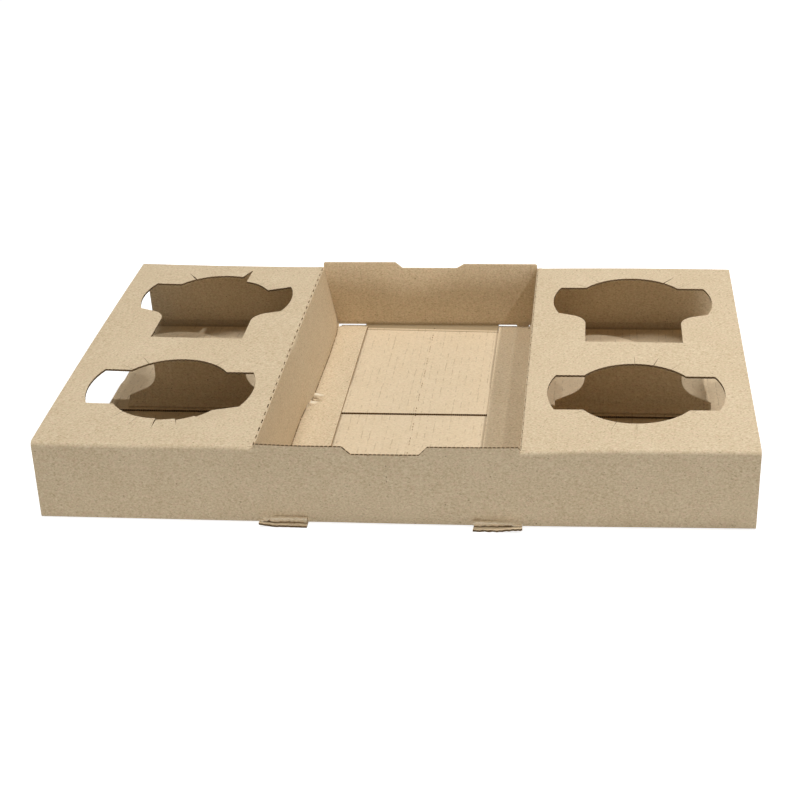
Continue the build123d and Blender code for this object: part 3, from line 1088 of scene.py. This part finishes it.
for point in points:
    x = (abs(point.x) - half_tray) / (half_length - half_tray)
    y = (point.y - middle_y) / wall_y
    above_table = clamp(point.z / deck_z)
    share = above_table
    if x < at_deck_fold and point.z > raised_end_z:
        share *= raised_share[(point.x > 0, point.y > 0)]
    elif abs(point.x) < notch_half and point.z > notch_z and point.y > 0:
        share = 0.0
    point.z += min(rise_at(point, x, y), highest) * share
    near_wall = clamp(1 - (point.y - front_y) / set_back_reach)
    point.y += blend_between(point.x, front_set_back) * above_table * near_wall
    hang = max(0.0, 1 - point.z / deck_z)
    near_front = clamp(1 - (point.y - front_y) / bow_reach)
    point.y += blend_between(point.x, front_bow) * hang * near_front
print("highest point", round(max(point.z for point in points), 2))

# %% [markdown]
# The slots were cut a little longer than the tabs that go through them, so the front and back
# slots stand open at the ends of each tab. Boolean cuts would make new faces that don't match the
# worn ones, so the slot's own end points are moved outwards. The shut stretch of the right back
# slot is closed by moving its upper edge down onto the flap.

# %% Slots
left_tab_x, right_tab_x = 52.8, 55.2
tab_length = 29.5
slot_play = 0.85
front_slot_top_z = 6.5
front_slot_ends = (
    (-left_tab_x - tab_length, -1),
    (-left_tab_x, 1),
    (right_tab_x, -1),
    (right_tab_x + tab_length, 1),
)
back_slot_play = 0.7
back_slot_reach, back_slot_top_z = 9, 3.5
back_slot_ends = ((54.0, -1), (77.0, 1))
shut_margin = 0.5
shut_edge_z, shut_edge_depth = (2.9, 3.6), 3.4
shut_gap = 0.05
same_place = 0.05


def open_slot_ends(point, ends, play):
    """Moves a point at the end of a slot outwards."""
    for end, way in ends:
        if abs(point.x - end) < same_place:
            point.x += way * play


for point in points:
    if point.y < front_y + board + slack and point.z < front_slot_top_z:
        open_slot_ends(point, front_slot_ends, slot_play)
closed = 0
for point in points:
    if point.y < back_y - back_slot_reach or point.z > back_slot_top_z or point.x < 0:
        continue
    open_slot_ends(point, back_slot_ends, back_slot_play)
    over_shut = shut_from_x + shut_margin < point.x < shut_to_x - shut_margin
    if over_shut and within(point.z, shut_edge_z) and point.y > back_y - shut_edge_depth:
        point.z = board + shut_gap
        closed += 1
print("points of the shut slot", closed)

# %% [markdown]
# The tongues at the front end raggedly, and the flap above each is torn and curls. The tear could
# be a texture on a flat edge, but its outline shows against the floor. So noise moves the points
# that were cut finely above, more towards the free edge, and a table along each tab lifts or drops
# it. The torn ends of the flaps count as lifted paper, and turn pale.

# %% Ragged tabs
left_flap_lift = [(0, 1.5), (0.55, 1.7), (0.72, 1.3), (0.86, -0.9), (1, -1.2)]
right_flap_lift = [(0, 1.5), (0.5, 1.2), (0.72, 0.3), (0.85, -1.0), (1, -1.2)]
left_tongue_lift = [(0, 0), (0.7, 0.1), (0.9, 0.8), (1, 1.5)]
right_tongue_lift = [(0, 0), (0.5, 0.1), (0.8, 1.2), (1, 1.5)]
tab_root_out = 0.4
tab_highest = 8
tab_bend_length = 3
tab_most_out = 6.45
coarse_waves, fine_waves = 0.55, 1.9
coarse_seed, fine_seed, flap_seed = 1.7, 9.1, 3.0
coarse_tear, fine_tear, shortened = 0.9, 0.5, 0.2
flap_flutter, tongue_flutter = 0.5, 0.3
flap_wear = -0.5
ragged_points = 0
for index, point in enumerate(points):
    out = front_y - tab_root_out - point.y
    if out < 0 or point.z > tab_highest or not tab_from_x < abs(point.x) < tab_to_x:
        continue
    on_left = point.x < 0
    on_flap = point.z > tongue_top_z
    ragged = noise.noise(Vector((point.x * coarse_waves, flap_seed * on_flap, coarse_seed)))
    fine = noise.noise(Vector((point.x * fine_waves, point.z, fine_seed)))
    share = min(1.0, out / tab_bend_length)
    point.y += share * (coarse_tear * ragged + fine_tear * fine + shortened)
    along_tab = (abs(point.x) - (left_tab_x if on_left else right_tab_x)) / tab_length
    if on_flap:
        lift = blend_between(along_tab, left_flap_lift if on_left else right_flap_lift)
        point.z += share * (lift + flap_flutter * ragged)
        gap_shade_and_wear.data[index].value = flap_wear * share
    else:
        lift = blend_between(along_tab, left_tongue_lift if on_left else right_tongue_lift)
        point.z += share * (lift + tongue_flutter * ragged)
    point.y = max(point.y, front_y - tab_most_out)
    point.z = max(point.z, 0.0)
    ragged_points += 1
print("ragged tab points", ragged_points)

# %% [markdown]
# The moved points go back to the mesh. Shading it smooth all over would round off the folds and
# the cut edges, and flat shading would show the triangles of the warp. So it is smooth only where
# two faces meet at less than 38 degrees.

# %% Finish the mesh
smooth_below = 38
for vertex, point in zip(mesh.vertices, points):
    vertex.co = point * MM
mesh.update()
bpy.ops.object.select_all(action="DESELECT")
sheet.select_set(True)
bpy.context.view_layer.objects.active = sheet
bpy.ops.object.shade_smooth_by_angle(angle=math.radians(smooth_below))
print("sheet points", len(points))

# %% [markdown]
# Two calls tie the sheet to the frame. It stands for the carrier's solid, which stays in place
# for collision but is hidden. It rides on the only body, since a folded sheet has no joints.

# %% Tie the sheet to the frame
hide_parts("carrier")
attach(sheet, "root")
print("sheet stands for the carrier")
